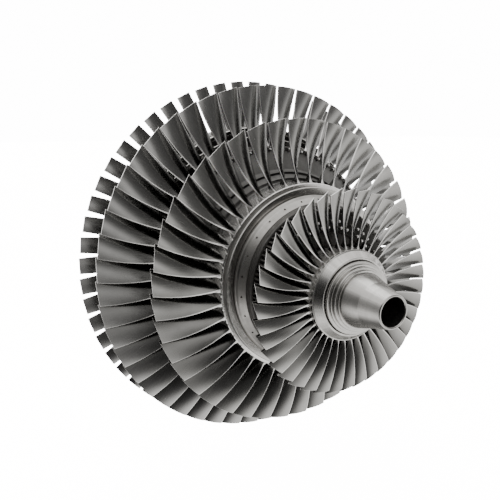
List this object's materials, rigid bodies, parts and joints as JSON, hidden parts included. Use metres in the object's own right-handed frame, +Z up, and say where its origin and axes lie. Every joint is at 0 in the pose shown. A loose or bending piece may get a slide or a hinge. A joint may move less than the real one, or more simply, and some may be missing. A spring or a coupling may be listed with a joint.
{
  "type": "multi-stage turbine rotor",
  "caption": "Horizontal bladed rotor stack with a tapered bored shaft nose in front, widening blade rows on discs and spacer drums, and a bolted coupling flange at the rear.",
  "frame": {"origin": "centre of the coupling flange's flat rear face, on the rotor's axis", "axes": "-Y points along the rotor's axis to the shaft nose, +Y out of the coupling face to the shaft it is bolted to, +Z up"},
  "size_m": [1.0096, 0.832, 1.0096],
  "materials": {
    "blade_steel": "satin machined blade steel with thin bright edges",
    "polished_steel": "fine turned and polished steel",
    "turned_steel": "turned steel with fine circular tool marks",
    "dark_steel": "dark oxidised steel",
    "fastener_steel": "dull machined steel"
  },
  "bodies": {
    "root": {"shaft_nose": "polished_steel", "front_collar": "polished_steel", "rear_collar": "polished_steel", "front_flange": "polished_steel", "stage_a": "blade_steel", "front_spacer": "dark_steel", "tooth_ring": "dark_steel", "step_ring": "dark_steel", "drum_cone": "turned_steel", "lip_ring": "turned_steel", "stage_b": "blade_steel", "spacer_bc": "turned_steel", "stage_c": "blade_steel", "spacer_cd": "turned_steel", "inner_seal": "polished_steel", "outer_seal": "polished_steel", "stage_d": "blade_steel", "back_disc": "turned_steel", "rear_journal": "polished_steel", "coupling_flange": "turned_steel", "tie_shaft": "dark_steel", "coupling_bolt_1": "fastener_steel", "coupling_bolt_2": "fastener_steel", "coupling_bolt_3": "fastener_steel", "coupling_bolt_4": "fastener_steel", "coupling_bolt_5": "fastener_steel", "coupling_bolt_6": "fastener_steel", "coupling_bolt_7": "fastener_steel", "coupling_bolt_8": "fastener_steel", "tie_nut_1": "fastener_steel", "tie_nut_2": "fastener_steel", "tie_nut_3": "fastener_steel", "tie_nut_4": "fastener_steel", "tie_nut_5": "fastener_steel", "tie_nut_6": "fastener_steel", "tie_nut_7": "fastener_steel", "tie_nut_8": "fastener_steel", "tie_nut_9": "fastener_steel", "tie_nut_10": "fastener_steel", "tie_nut_11": "fastener_steel", "tie_nut_12": "fastener_steel"}
  },
  "joints": []
}
